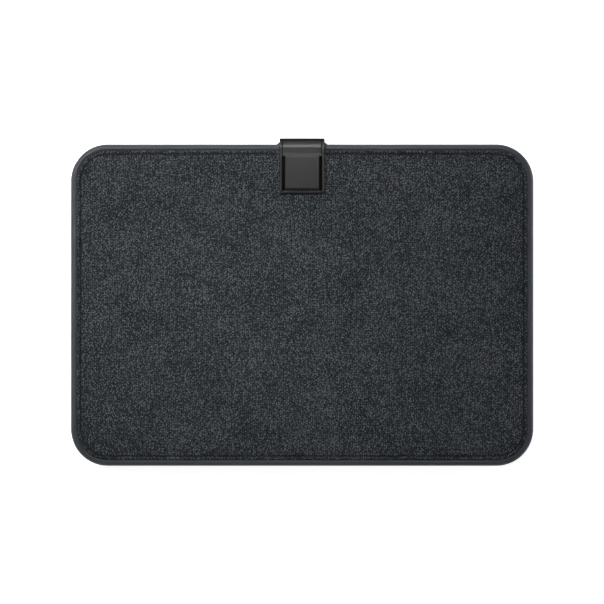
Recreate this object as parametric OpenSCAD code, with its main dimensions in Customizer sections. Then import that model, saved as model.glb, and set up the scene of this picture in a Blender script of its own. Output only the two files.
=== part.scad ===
// Padded laptop sleeve with a moulded bumper rim and a magnetic closing strap.
//
// Frame: millimetres. The sleeve lies on its back, front face up (+Z). X runs
// across the width, +Y points out of the mouth, and the origin is the centre of
// the back face, on the surface that the sleeve rests on.

/* [Sleeve] */
// Width across the bumper rim
sleeve_w = 325; // [300:1:350]
// Height from the bottom rim to the mouth edge
sleeve_h = 226; // [205:1:250]
// Outer corner radius seen from the front
corner_r = 26; // [24:1:30]
// Clear depth of the pocket that takes the computer
pocket_t = 16; // [15:0.5:20]

/* [Panels] */
// Thickness of the woven cover
cover_t = 0.9; // [0.8:0.1:1.1]
// Thickness of the stiffening board
board_t = 0.5; // [0.4:0.1:0.6]
// Thickness of the foam sheet
foam_t = 1.4; // [1.2:0.1:1.8]
// Thickness of the plush lining
lining_t = 0.8; // [0.6:0.1:1]

/* [Bumper] */
// Rim width seen from the front, which is also the wall thickness
rim_w = 3.7; // [3.4:0.1:4.2]
// Rounding of the rim's outer edge
rim_round = 3; // [2:0.1:3.2]
// Width of the flange that the cover is sewn to
flange_w = 5.3; // [5:0.1:6]
// Thickness of the air cell rails behind the wall
rail_w = 4.3; // [4:0.1:4.6]
// Spacing of the air cells
cell_pitch = 12; // [11:0.5:14]

/* [Strap] */
// Width of the closing strap
strap_w = 31.8; // [28:0.1:34]
// Reach of the flap below the rim's top edge
flap_reach = 34.9; // [34:0.1:40]
// Thickness of the outer leather
leather_t = 1.4; // [1.2:0.1:1.5]
// Thickness of the backing leather
backing_t = 1.2; // [1:0.1:1.3]
// Outer radius of the strap's two bends
bend_r = 6; // [5.5:0.1:6.5]
// Height of the moulded saddle under the strap
saddle_h = 1.5; // [1.2:0.1:1.8]

/* [Magnets] */
// Diameter of each disc magnet
magnet_d = 8; // [7:0.5:8.5]
// Thickness of the disc magnets
magnet_t = 1.4; // [1.2:0.1:1.4]
// Width of the raised magnet pocket on the flap
pocket_w = 24.2; // [22:0.1:24.4]
// Height of the raised magnet pocket on the flap
pocket_h = 22.4; // [21.6:0.1:23]

/* [Hidden] */
$fn = 64;

// Colours
fabric_colour = "#33383a";
rim_colour = "#4b505a";
leather_colour = "#404040";
lining_colour = "#2a2c30";
foam_colour = "#8d9196";
board_colour = "#1e1f21";
thread_colour = "#191a1c";
steel_colour = "#b9bcc0";

// Small fits
gap = 0.05;        // between sheets and parts that are bonded or sewn together
strap_clear = 0.25;  // between the strap and what it passes over
chamfer = 0.5;     // along the joint between the bumper halves

// Stack heights, counted from the back face
panel_t = cover_t + board_t + foam_t + lining_t;
body_t = pocket_t + 2 * panel_t;
mid_z = body_t / 2;
rim_drop = 0.3;    // the rim's crest lies this far inside the cover's face
flange_t = 0.9;
lining_z = panel_t - lining_t;
foam_z = cover_t + board_t;

// Outline positions
half_w = sleeve_w / 2;
half_h = sleeve_h / 2;
cover_inset = rim_w + gap;
board_inset = rim_w + flange_w + 0.3;
rail_inset = rim_w + rail_w;
seam_inset = 6.9;  // line of the topstitching
seam_w = 1.0;
thread_w = 0.5;

// Mouth
wall_end_y = half_h - 13;       // centre of the rounded end of the mouth slot
rail_end_y = half_h - 37;
slot_r = pocket_t / 2;
gusset_t = 0.8;

// Air cells
cell_l = 9;
cell_h = 13;
cell_depth = 2.6;

// Strap
strap_t = leather_t + backing_t;
base_z = strap_clear;                        // outer face of the strap on the back
flap_z = body_t + strap_clear;               // inner face of the flap on the front
bend_y = half_h + saddle_h + 0.2 + strap_t - bend_r;
back_bend_z = base_z + bend_r;
front_bend_z = flap_z + strap_t - bend_r;
flap_end_y = half_h - flap_reach;
flap_corner_r = 2;
base_end_y = half_h - 24.5;
backing_start_y = half_h - rim_w + 0.2;      // the backing stops short of the lining
channel_w = strap_w + 0.9;                   // recess in the back for the strap
bay_w = channel_w + 3.8;                     // window for the anchor plate
bay_end_y = half_h - 26;
plate_wall = (bay_w - channel_w) / 2 - gap;
saddle_foot = strap_w + 4.3;
saddle_top = strap_w + 0.5;

// Magnet pocket on the flap
pocket_y = flap_end_y + 15.1;
pocket_rise = 1.5;
pocket_wall = leather_t;
magnet_spacing = magnet_d + 1.2;
keeper_w = 22;
keeper_h = 17.6;

// Stitches
stitch_l = 1.7;
stitch_w = 0.5;
stitch_h = 0.15;
stitch_pitch = 2.8;
stitch_edge = 2.05;    // from the strap's edge to the stitch line

// ---------------------------------------------------------------- outlines

module rounded_rect(w, h, r) {
    square([w - 2 * r, h], center = true);
    square([w, h - 2 * r], center = true);
    for (x = [-1, 1], y = [-1, 1])
        translate([x * (w / 2 - r), y * (h / 2 - r)]) circle(r);
}

// The sleeve's outline, moved inwards.
module inset_outline(inset) {
    rounded_rect(sleeve_w - 2 * inset, sleeve_h - 2 * inset, corner_r - inset);
}

// Space between the cushion rails, grown inwards by g.
module pocket_outline(g) {
    straight_x = half_w - corner_r;
    straight_y = half_h - corner_r;
    difference() {
        inset_outline(rim_w + g);
        for (s = [-1, 1])
            translate([s * (half_w - rail_inset / 2), (rail_end_y - straight_y) / 2])
                square([rail_inset + 2 * g, rail_end_y + straight_y + 2 * g], center = true);
        translate([0, -half_h + rail_inset / 2])
            square([2 * straight_x + 2 * g, rail_inset + 2 * g], center = true);
    }
}

// Sweeps a profile round the outline. In the profile X is the distance inwards
// from the outer edge and Y is the height.
module around_outline() {
    for (i = [0 : 3]) {
        across = i % 2 == 0;
        run = (across ? sleeve_h : sleeve_w) - 2 * corner_r;
        reach = across ? half_w : half_h;
        rotate([0, 0, 90 * i])
            translate([reach, run / 2, 0])
            rotate([90, 0, 0])
            linear_extrude(run) mirror([1, 0]) children();
        rotate([0, 0, 90 * i])
            translate([reach - corner_r, run / 2, 0])
            rotate_extrude(angle = 90) translate([corner_r, 0]) mirror([1, 0]) children();
    }
}

// Turns a back part into its twin on the front.
module on_front() {
    translate([0, 0, body_t]) mirror([0, 0, 1]) children();
}

module bay_window() {
    translate([-bay_w / 2, bay_end_y]) square([bay_w, 60]);
}

// ------------------------------------------------------------------ panels

module cover(window) {
    color(fabric_colour)
    difference() {
        linear_extrude(cover_t) difference() {
            inset_outline(cover_inset);
            if (window) bay_window();
        }
        translate([0, 0, -1]) around_outline()
            translate([seam_inset - seam_w / 2, 0]) square([seam_w, 1.5]);
    }
}

module topstitch(window) {
    color(thread_colour)
    difference() {
        around_outline()
            translate([seam_inset - thread_w / 2, 0.2]) square([thread_w, 0.3]);
        if (window) translate([0, 0, -1]) linear_extrude(4) bay_window();
    }
}

module board(window, keeper) {
    color(board_colour)
    translate([0, 0, cover_t]) linear_extrude(board_t) difference() {
        inset_outline(board_inset);
        if (window) bay_window();
        if (keeper) translate([0, pocket_y])
            square([keeper_w + 0.2, keeper_h + 0.2], center = true);
    }
}

module foam(window) {
    color(foam_colour)
    translate([0, 0, foam_z]) linear_extrude(foam_t) difference() {
        inset_outline(board_inset);
        if (window) bay_window();
    }
}

module lining() {
    color(lining_colour)
    translate([0, 0, lining_z]) linear_extrude(lining_t) pocket_outline(gap);
}

// Stiff tape under the flange along the mouth.
module mouth_tape(window) {
    base = cover_t + flange_t + gap;
    color(board_colour)
    translate([0, half_h - rim_w - flange_w / 2, base])
        linear_extrude(lining_z - gap - base) difference() {
            square([2 * (half_w - corner_r) - 4, flange_w - 2 * gap], center = true);
            if (window) square([bay_w + 0.4, 2 * flange_w], center = true);
        }
}

module keeper_plate() {
    color(steel_colour)
    translate([0, pocket_y, body_t - cover_t - board_t / 2])
        cube([keeper_w, keeper_h, board_t], center = true);
}

// ------------------------------------------------------------------ bumper

// Half of the rim: a rounded wall and the flange under the cover's edge.
module bumper_profile() {
    difference() {
        union() {
            translate([0, rim_drop + rim_round])
                square([rim_w, mid_z - rim_drop - rim_round]);
            translate([rim_round, rim_drop])
                square([rim_w - rim_round, rim_round]);
            intersection() {
                translate([rim_round, rim_drop + rim_round]) circle(rim_round);
                translate([0, rim_drop]) square(rim_round);
            }
        }
        translate([0, mid_z]) rotate(45)
            square(chamfer * sqrt(2), center = true);
    }
    translate([rim_w - gap, cover_t]) square([flange_w + gap, flange_t]);
}

module mouth_cutter() {
    translate([-half_w - 1, wall_end_y, panel_t])
        cube([sleeve_w + 2, 40, pocket_t]);
    translate([-half_w - 1, wall_end_y, mid_z]) rotate([0, 90, 0])
        cylinder(r = slot_r, h = sleeve_w + 2);
}

module bumper_half() {
    difference() {
        around_outline() bumper_profile();
        mouth_cutter();
    }
}

// Moulded pad that carries the strap round the front rim.
module saddle() {
    saddle_r = bend_r - strap_t - 0.2;
    intersection() {
        translate([-saddle_foot / 2, bend_y, front_bend_z]) rotate([0, 90, 0])
            cylinder(r = saddle_r, h = saddle_foot);
        translate([0, 0, body_t - panel_t]) linear_extrude(panel_t + 1)
            polygon([
                [-saddle_foot / 2, half_h - rim_w], [saddle_foot / 2, half_h - rim_w],
                [saddle_foot / 2, half_h], [saddle_top / 2, half_h + saddle_h],
                [-saddle_top / 2, half_h + saddle_h], [-saddle_foot / 2, half_h]
            ]);
    }
}

module front_bumper() {
    color(rim_colour) union() {
        on_front() bumper_half();
        saddle();
    }
}

module back_bumper() {
    color(rim_colour) difference() {
        bumper_half();
        translate([-channel_w / 2, half_h - rim_w - 1, -1])
            cube([channel_w, rim_w + 3, base_z + strap_t + 1.1]);
        translate([-channel_w / 2, bend_y - 0.3, -1])
            cube([channel_w, rim_w, panel_t + 2]);
        translate([-bay_w / 2, bay_end_y, -1])
            cube([bay_w, half_h - rim_w - bay_end_y, body_t / 4]);
    }
}

// Straight run of air cells along +X, its back against the wall at y = 0.
module cell_rail(run) {
    cells = floor((run - 4) / cell_pitch);
    h = body_t - 2 * (cover_t + flange_t + gap);
    color(rim_colour) difference() {
        translate([-run / 2, gap, -h / 2]) cube([run, rail_w - gap, h]);
        for (i = [0 : cells - 1])
            translate([(i - (cells - 1) / 2) * cell_pitch, 0, 0])
                cube([cell_l, 2 * cell_depth, cell_h], center = true);
    }
}

module side_rail(side) {
    run = rail_end_y + half_h - corner_r;
    translate([side * (half_w - rim_w), rail_end_y - run / 2, mid_z])
        rotate([0, 0, side * 90]) cell_rail(run);
}

module bottom_rail() {
    translate([0, -half_h + rim_w, mid_z]) cell_rail(sleeve_w - 2 * corner_r);
}

module edge_lining() {
    h = pocket_t - 2 * gap;
    color(lining_colour)
    translate([0, 0, mid_z - h / 2]) linear_extrude(h) difference() {
        pocket_outline(gap);
        pocket_outline(lining_t);
        translate([-half_w, rail_end_y]) square([sleeve_w, half_h]);
    }
}

// Web that closes the rounded end of the mouth slot on one side.
module mouth_gusset(side) {
    h = pocket_t - 2 * gap;
    color(lining_colour)
    translate([0, 0, mid_z - h / 2]) linear_extrude(h) intersection() {
        difference() {
            inset_outline(cover_inset);
            inset_outline(cover_inset + gusset_t);
        }
        translate([side * half_w, (rail_end_y + wall_end_y) / 2])
            square([rail_inset * 4, wall_end_y - rail_end_y - 1], center = true);
    }
}

// ------------------------------------------------------------------- strap

// Quarter ring about X between two radii, centred on a bend. start is 0 for
// the front bend, which runs from +Y to +Z, and 270 for the back one.
module bend_layer(z, start, inner, outer) {
    translate([-strap_w / 2, bend_y, z])
        rotate([90, 0, 90]) rotate([0, 0, start])
        linear_extrude(strap_w) intersection() {
            difference() {
                circle(outer);
                circle(inner);
            }
            square(outer + 1);
        }
}

// Both leathers of a bend, as two solids.
module bend(z, start) {
    color(leather_colour) {
        bend_layer(z, start, bend_r - leather_t, bend_r);
        bend_layer(z, start, bend_r - strap_t, bend_r - leather_t - 0.01);
    }
}

module strap_anchor_plate() {
    run = half_h - rim_w - gap - (bay_end_y + gap);
    color(board_colour)
    translate([-bay_w / 2 + gap, bay_end_y + gap, 0]) difference() {
        translate([0, 0, 0.1]) cube([bay_w - 2 * gap, run, lining_z - gap - 0.1]);
        translate([plate_wall, base_end_y - bay_end_y - gap - 0.2, -1])
            cube([channel_w, run, base_z + leather_t + gap + 1]);
    }
}

module strap_base() {
    run = bend_y - base_end_y;
    color(leather_colour) {
        translate([0, base_end_y + run / 2, base_z]) linear_extrude(leather_t)
            square([strap_w, run], center = true);
        translate([-strap_w / 2, backing_start_y, base_z + leather_t + 0.01])
            cube([strap_w, bend_y - backing_start_y, backing_t - 0.01]);
    }
}

// One stitch along Y, lying on a face at z = 0.
module stitch() {
    translate([-stitch_w / 2, -stitch_l / 2, 0]) cube([stitch_w, stitch_l, stitch_h]);
}

module stitch_row(count, pitch) {
    for (i = [0 : count - 1]) translate([0, (i + 0.5) * pitch, 0]) stitch();
}

// Box stitch that holds the strap to the anchor plate.
module strap_base_stitching() {
    box_w = strap_w - 2 * stitch_edge;
    rows = 6;
    color(thread_colour)
    translate([0, base_end_y + 1.6, base_z - stitch_h]) {
        for (s = [-1, 1])
            translate([s * box_w / 2, 0, 0]) stitch_row(rows, stitch_pitch);
        for (y = [0, rows * stitch_pitch])
            translate([box_w / 2, y, 0]) rotate([0, 0, 90])
                stitch_row(10, box_w / 10);
    }
}

module strap_bridge() {
    color(leather_colour)
    translate([-strap_w / 2, bend_y + bend_r - leather_t, back_bend_z])
        cube([strap_w, leather_t, front_bend_z - back_bend_z]);
}

module strap_bridge_backing() {
    color(leather_colour)
    translate([-strap_w / 2, bend_y + bend_r - strap_t, back_bend_z])
        cube([strap_w, backing_t - 0.01, front_bend_z - back_bend_z]);
}

module strap_bridge_stitching() {
    run = front_bend_z - back_bend_z;
    color(thread_colour)
    for (s = [-1, 1])
        translate([s * (strap_w / 2 - stitch_edge), bend_y + bend_r, front_bend_z])
            rotate([-90, 0, 0]) stitch_row(5, run / 5);
}

module flap_outline() {
    translate([-strap_w / 2, flap_end_y + flap_corner_r])
        square([strap_w, bend_y - flap_end_y - flap_corner_r]);
    translate([-strap_w / 2 + flap_corner_r, flap_end_y])
        square([strap_w - 2 * flap_corner_r, flap_corner_r]);
    for (s = [-1, 1])
        translate([s * (strap_w / 2 - flap_corner_r), flap_end_y + flap_corner_r])
            circle(flap_corner_r);
}

// Outer leather of the flap, formed over the magnet carrier.
module strap_flap() {
    color(leather_colour)
    translate([0, 0, flap_z + backing_t]) difference() {
        union() {
            linear_extrude(leather_t) flap_outline();
            translate([0, pocket_y, 0]) linear_extrude(leather_t + pocket_rise)
                rounded_rect(pocket_w, pocket_h, 1);
        }
        translate([0, pocket_y, -1]) linear_extrude(pocket_rise + 1)
            square([pocket_w - 2 * pocket_wall, pocket_h - 2 * pocket_wall], center = true);
    }
}

module strap_flap_backing() {
    color(leather_colour)
    translate([0, 0, flap_z]) linear_extrude(backing_t - 0.01) flap_outline();
}

module flap_stitching() {
    side_run = bend_y - flap_end_y - stitch_edge;
    row_w = strap_w - 2 * stitch_edge;
    color(thread_colour)
    translate([0, flap_end_y + stitch_edge, flap_z + strap_t]) {
        for (s = [-1, 1])
            translate([s * row_w / 2, 0, 0])
                stitch_row(floor(side_run / stitch_pitch), stitch_pitch);
        translate([row_w / 2, 0, 0]) rotate([0, 0, 90]) stitch_row(11, row_w / 11);
    }
}

module at_magnets() {
    for (x = [-1, 1], y = [-1, 1])
        translate([x * magnet_spacing / 2, pocket_y + y * magnet_spacing / 2, flap_z + backing_t])
            children();
}

module magnet_carrier() {
    color(board_colour) difference() {
        translate([0, pocket_y, flap_z + backing_t])
            linear_extrude(pocket_rise - 0.05)
            square([pocket_w - 2 * pocket_wall - 0.2, pocket_h - 2 * pocket_wall - 0.2],
                   center = true);
        at_magnets() translate([0, 0, -1]) cylinder(d = magnet_d + 0.1, h = 4);
    }
}

module flap_magnets() {
    color(steel_colour) at_magnets() cylinder(d = magnet_d, h = magnet_t);
}

// -------------------------------------------------------------------- parts

cover(true);  // back_cover
board(true, false);  // back_board
foam(true);  // back_foam
lining();  // back_lining
back_bumper();
mouth_tape(true);  // back_mouth_tape
topstitch(true);  // back_topstitch
on_front() cover(false);  // front_cover
on_front() board(false, true);  // front_board
on_front() foam(false);  // front_foam
on_front() lining();  // front_lining
front_bumper();
on_front() mouth_tape(false);  // front_mouth_tape
on_front() topstitch(false);  // front_topstitch
keeper_plate();
side_rail(-1);  // left_cushion_rail
side_rail(1);  // right_cushion_rail
bottom_rail();  // bottom_cushion_rail
edge_lining();
mouth_gusset(-1);  // left_mouth_gusset
mouth_gusset(1);  // right_mouth_gusset
strap_anchor_plate();
strap_base();
strap_base_stitching();
bend(back_bend_z, 270);  // strap_back_bend
strap_bridge();
strap_bridge_backing();
strap_bridge_stitching();
bend(front_bend_z, 0);  // strap_front_bend
strap_flap();
strap_flap_backing();
flap_stitching();
magnet_carrier();
flap_magnets();
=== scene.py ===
"""Looks of a padded laptop sleeve: woven panels, a moulded rim and a leather strap.

Shapes are worked out in millimetres, in the frame of the CAD model, and turned into metres
when a mesh is made. The front faces +Z and the mouth is at +Y.
"""

import math

import bmesh
import bpy
import numpy as np
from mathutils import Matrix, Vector


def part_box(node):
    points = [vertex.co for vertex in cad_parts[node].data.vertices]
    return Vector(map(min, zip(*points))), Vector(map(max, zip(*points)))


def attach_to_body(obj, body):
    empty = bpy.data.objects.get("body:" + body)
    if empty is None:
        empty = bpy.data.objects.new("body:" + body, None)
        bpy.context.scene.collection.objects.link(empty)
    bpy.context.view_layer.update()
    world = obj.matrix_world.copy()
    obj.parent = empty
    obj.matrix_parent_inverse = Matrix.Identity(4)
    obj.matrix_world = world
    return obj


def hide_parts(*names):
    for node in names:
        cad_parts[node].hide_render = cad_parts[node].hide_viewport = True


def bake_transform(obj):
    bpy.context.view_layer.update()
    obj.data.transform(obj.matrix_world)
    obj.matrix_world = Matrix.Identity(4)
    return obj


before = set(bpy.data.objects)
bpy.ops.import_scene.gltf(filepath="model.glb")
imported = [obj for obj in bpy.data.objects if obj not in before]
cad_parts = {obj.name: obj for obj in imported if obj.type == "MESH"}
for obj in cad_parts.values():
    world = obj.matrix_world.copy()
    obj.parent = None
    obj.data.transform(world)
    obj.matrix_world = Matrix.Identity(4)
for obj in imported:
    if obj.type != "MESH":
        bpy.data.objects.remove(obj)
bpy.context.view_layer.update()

MM = 0.001


def box_mm(node):
    """Lowest and highest corner of a CAD node, in millimetres."""
    low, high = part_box(node)
    return np.array(low) / MM, np.array(high) / MM


# ---------------------------------------------------------------- sizes from the frame

rim_low, rim_high = box_mm("back_bumper")
cover_low, cover_high = box_mm("front_cover")
flap_low, flap_high = box_mm("strap_flap")
flap_back_low = box_mm("strap_flap_backing")[0]
bridge_low, bridge_high = box_mm("strap_bridge")
bridge_back_low, bridge_back_high = box_mm("strap_bridge_backing")
base_low = box_mm("strap_base")[0]
flap_stitch_low, flap_stitch_high = box_mm("flap_stitching")
plate_low, plate_high = box_mm("strap_anchor_plate")
lining_low, lining_high = box_mm("back_lining")
gusset_low, gusset_high = box_mm("right_mouth_gusset")
edge_low, edge_high = box_mm("edge_lining")
saddle_tip = box_mm("front_bumper")[1][1]

HALF_W = rim_high[0]
HALF_H = rim_high[1]
BODY_T = cover_high[2]
MID_Z = BODY_T / 2
PANEL_T = lining_high[2]
COVER_T = cover_high[2] - cover_low[2]
RIM_W = HALF_W - cover_high[0] - 0.05
RIM_DROP = rim_low[2]
COVER_EDGE = HALF_W - cover_high[0]

CORNER_R = 26.0
STRAIGHT_X = HALF_W - CORNER_R
STRAIGHT_Y = HALF_H - CORNER_R
RIM_ROUND = 3.0
FLANGE_W = 5.3
FLANGE_T = 0.9
SLOT_R = MID_Z - PANEL_T
SLOT_END_Y = HALF_H - 13.0
RAIL_INSET = HALF_W - box_mm("right_cushion_rail")[0][0]
RAIL_FACE = RAIL_INSET + 0.05
RAIL_END_Y = box_mm("right_cushion_rail")[1][1]
CLOTH_T = COVER_T - 0.25
LINING_T = 0.75

SEAM_INSET = 6.9
STITCH_PITCH = 3.2

STRAP_HALF = flap_high[0]
LEATHER_T = bridge_high[1] - bridge_low[1]
BACKING_T = bridge_back_high[1] - bridge_back_low[1]
BEND_R = bridge_high[1] - flap_high[1]
BEND_Y = flap_high[1]
BACK_BEND_Z = bridge_low[2]
FRONT_BEND_Z = bridge_high[2]
FLAP_TOP_Z = flap_low[2] + LEATHER_T
BASE_START_Y = base_low[1]
FLAP_END_Y = flap_low[1]
PATCH_RISE = flap_high[2] - FLAP_TOP_Z
PATCH_HALF = 12.1
PATCH_LENGTH = 22.4
PATCH_LOW_Y = FLAP_END_Y + 3.9
PATCH_HIGH_Y = PATCH_LOW_Y + PATCH_LENGTH
STRAP_STITCH_X = flap_stitch_high[0] - 0.25
STRAP_STITCH_END = flap_stitch_low[1] + 0.5 - FLAP_END_Y
STRAP_STITCH_PITCH = 2.8
STITCHES_ACROSS = 11
STITCH_SINK = 0.16
BASE_ROW = 1.6


# ---------------------------------------------------------------- small helpers


def smooth(low, high, value):
    """0 below low, 1 above high, and a smooth step between."""
    t = np.clip((np.asarray(value, float) - low) / (high - low), 0, 1)
    return t * t * (3 - 2 * t)


def waves(x, y, scale, seed):
    """Gentle, repeatable unevenness between -1 and 1, about scale millimetres across."""
    rng = np.random.default_rng(seed)
    total = np.zeros(np.broadcast(x, y).shape)
    for _ in range(7):
        angle = rng.uniform(0, math.tau)
        length = scale * rng.uniform(0.7, 1.6)
        phase = rng.uniform(0, math.tau)
        run = x * math.cos(angle) + y * math.sin(angle)
        total = total + np.sin(run * math.tau / length + phase)
    return total / 7


def make_object(name, points, faces, material, sharp_deg=50):
    """A mesh object from points in millimetres."""
    mesh = bpy.data.meshes.new(name)
    mesh.from_pydata((np.asarray(points, float) * MM).tolist(), [], faces)
    mesh.update()
    obj = bpy.data.objects.new(name, mesh)
    bpy.context.scene.collection.objects.link(obj)
    obj.data.materials.append(material)
    finish_mesh(obj, sharp_deg)
    return obj


def finish_mesh(obj, sharp_deg=50):
    """Joins points that coincide, turns the faces outwards and shades them smoothly."""
    work = bmesh.new()
    work.from_mesh(obj.data)
    bmesh.ops.remove_doubles(work, verts=work.verts, dist=2e-6)
    bmesh.ops.recalc_face_normals(work, faces=work.faces)
    for face in work.faces:
        face.smooth = True
    limit = math.radians(sharp_deg)
    for edge in work.edges:
        edge.smooth = len(edge.link_faces) == 2 and edge.calc_face_angle() < limit
    work.to_mesh(obj.data)
    work.free()
    obj.data.update()


def grid_faces(rows, columns, first=0, wrap_rows=False, wrap_columns=False):
    """Quads of a grid of points that is stored row by row."""
    faces = []
    for i in range(rows if wrap_rows else rows - 1):
        for j in range(columns if wrap_columns else columns - 1):
            a = i * columns + j
            b = i * columns + (j + 1) % columns
            c = (i + 1) % rows * columns + (j + 1) % columns
            d = (i + 1) % rows * columns + j
            faces.append((first + a, first + b, first + c, first + d))
    return faces


def closed_tube(rows, columns):
    """Faces of a tube of points that is stored ring by ring, with its two ends."""
    faces = grid_faces(rows, columns, wrap_columns=True)
    faces.append(tuple(range(columns - 1, -1, -1)))
    faces.append(tuple((rows - 1) * columns + k for k in range(columns)))
    return faces


def shell(top, bottom):
    """Closed shell between two grids of points of the same shape: (points, faces)."""
    rows, columns = top.shape[:2]
    count = rows * columns
    points = np.concatenate([top.reshape(-1, 3), bottom.reshape(-1, 3)])
    faces = grid_faces(rows, columns)
    faces += [tuple(reversed(f)) for f in grid_faces(rows, columns, count)]
    rim = list(range(columns))
    rim += [i * columns + columns - 1 for i in range(1, rows)]
    rim += [(rows - 1) * columns + j for j in range(columns - 2, -1, -1)]
    rim += [i * columns for i in range(rows - 2, 0, -1)]
    for a, b in zip(rim, rim[1:] + rim[:1]):
        faces.append((b, a, a + count, b + count))
    return points, faces


# ---------------------------------------------------------------- the outline


def outline(per_x, per_y, per_corner):
    """Points of the outer outline and their outward normals, anticlockwise from the right side."""
    places, normals = [], []

    def add(x, y, angle):
        places.append((x, y))
        normals.append((math.cos(angle), math.sin(angle)))

    for quarter in range(4):
        angle = quarter * math.pi / 2
        across = quarter % 2 == 0
        half = STRAIGHT_Y if across else STRAIGHT_X
        reach = HALF_W if across else HALF_H
        steps = per_y if across else per_x
        for k in range(steps):
            run = -half + 2 * half * k / steps
            x = reach * math.cos(angle) - run * math.sin(angle)
            y = reach * math.sin(angle) + run * math.cos(angle)
            add(x, y, angle)
        centre_x = STRAIGHT_X if quarter in (0, 3) else -STRAIGHT_X
        centre_y = STRAIGHT_Y if quarter in (0, 1) else -STRAIGHT_Y
        for k in range(per_corner):
            turn = angle + math.pi / 2 * k / per_corner
            x = centre_x + CORNER_R * math.cos(turn)
            y = centre_y + CORNER_R * math.sin(turn)
            add(x, y, turn)
    return np.array(places), np.array(normals)


def right_side_point(y):
    """Point and normal of the outline's right half at height y, from the side to the top corner."""
    if y <= STRAIGHT_Y:
        return (HALF_W, y), (1.0, 0.0)
    turn = math.asin(min(1.0, (y - STRAIGHT_Y) / CORNER_R))
    x = STRAIGHT_X + CORNER_R * math.cos(turn)
    return (x, y), (math.cos(turn), math.sin(turn))


def mirrored(points, normals):
    """The same run on the left, in the opposite order."""
    flip = np.array([-1.0, 1.0])
    return points[::-1] * flip, normals[::-1] * flip


# ---------------------------------------------------------------- materials


class Graph:
    """Builds one material's nodes."""

    def __init__(self, name):
        self.material = bpy.data.materials.new(name)
        self.material.use_nodes = True
        self.tree = self.material.node_tree
        self.tree.nodes.clear()
        self.shader = self.node("ShaderNodeBsdfPrincipled")
        output = self.node("ShaderNodeOutputMaterial")
        self.tree.links.new(self.shader.outputs[0], output.inputs[0])

    def node(self, kind, **settings):
        made = self.tree.nodes.new(kind)
        for key, value in settings.items():
            setattr(made, key, value)
        return made

    def feed(self, socket, value):
        if isinstance(value, bpy.types.NodeSocket):
            self.tree.links.new(value, socket)
        else:
            socket.default_value = value

    def set(self, **values):
        """Sets or feeds the shader's sockets; an underscore stands for a space."""
        for key, value in values.items():
            self.feed(self.shader.inputs[key.replace("_", " ")], value)

    def maths(self, operation, *values):
        made = self.node("ShaderNodeMath", operation=operation)
        for socket, value in zip(made.inputs, values):
            self.feed(socket, value)
        return made.outputs[0]

    def add(self, one, other):
        return self.maths("ADD", one, other)

    def minus(self, one, other):
        return self.maths("SUBTRACT", one, other)

    def times(self, one, other):
        return self.maths("MULTIPLY", one, other)

    def place(self):
        return self.node("ShaderNodeTexCoord").outputs["Object"]

    def split(self, vector):
        made = self.node("ShaderNodeSeparateXYZ")
        self.feed(made.inputs[0], vector)
        return made.outputs

    def join(self, x, y, z):
        made = self.node("ShaderNodeCombineXYZ")
        for socket, value in zip(made.inputs, (x, y, z)):
            self.feed(socket, value)
        return made.outputs[0]

    def scaled(self, vector, sx, sy, sz):
        made = self.node("ShaderNodeVectorMath", operation="MULTIPLY")
        self.feed(made.inputs[0], vector)
        made.inputs[1].default_value = (sx, sy, sz)
        return made.outputs[0]

    def noise(self, vector, scale, detail=2.0, roughness=0.5):
        made = self.node("ShaderNodeTexNoise")
        self.feed(made.inputs["Vector"], vector)
        made.inputs["Scale"].default_value = scale
        made.inputs["Detail"].default_value = detail
        made.inputs["Roughness"].default_value = roughness
        return made.outputs[0]

    def chance(self, x, y, seed):
        """A repeatable random number from 0 to 1 for each pair of whole numbers."""
        made = self.node("ShaderNodeTexWhiteNoise", noise_dimensions="3D")
        self.feed(made.inputs["Vector"], self.join(x, y, float(seed)))
        return made.outputs[0]

    def ranged(self, value, low, high, to_low, to_high):
        made = self.node("ShaderNodeMapRange")
        for socket, number in zip(made.inputs, (value, low, high, to_low, to_high)):
            self.feed(socket, number)
        return made.outputs[0]

    def mix(self, factor, one, other, blend="MIX"):
        made = self.node("ShaderNodeMix", data_type="RGBA", blend_type=blend)
        self.feed(made.inputs[0], factor)
        for socket, colour in ((made.inputs[6], one), (made.inputs[7], other)):
            if isinstance(colour, tuple):
                colour = (*colour, 1.0)
            self.feed(socket, colour)
        return made.outputs[2]

    def blend(self, factor, one, other):
        """One where factor is 0, the other where it is 1."""
        return self.ranged(factor, 0.0, 1.0, one, other)

    def bump(self, height, distance, strength=1.0, normal=None):
        made = self.node("ShaderNodeBump")
        self.feed(made.inputs["Height"], height)
        made.inputs["Distance"].default_value = distance
        made.inputs["Strength"].default_value = strength
        if normal is not None:
            self.feed(made.inputs["Normal"], normal)
        return made.outputs[0]

    def attribute(self, name):
        return self.node("ShaderNodeAttribute", attribute_name=name).outputs["Fac"]


WARP_PITCH = 1.456
WEFT_PITCH = 1.127


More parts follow.
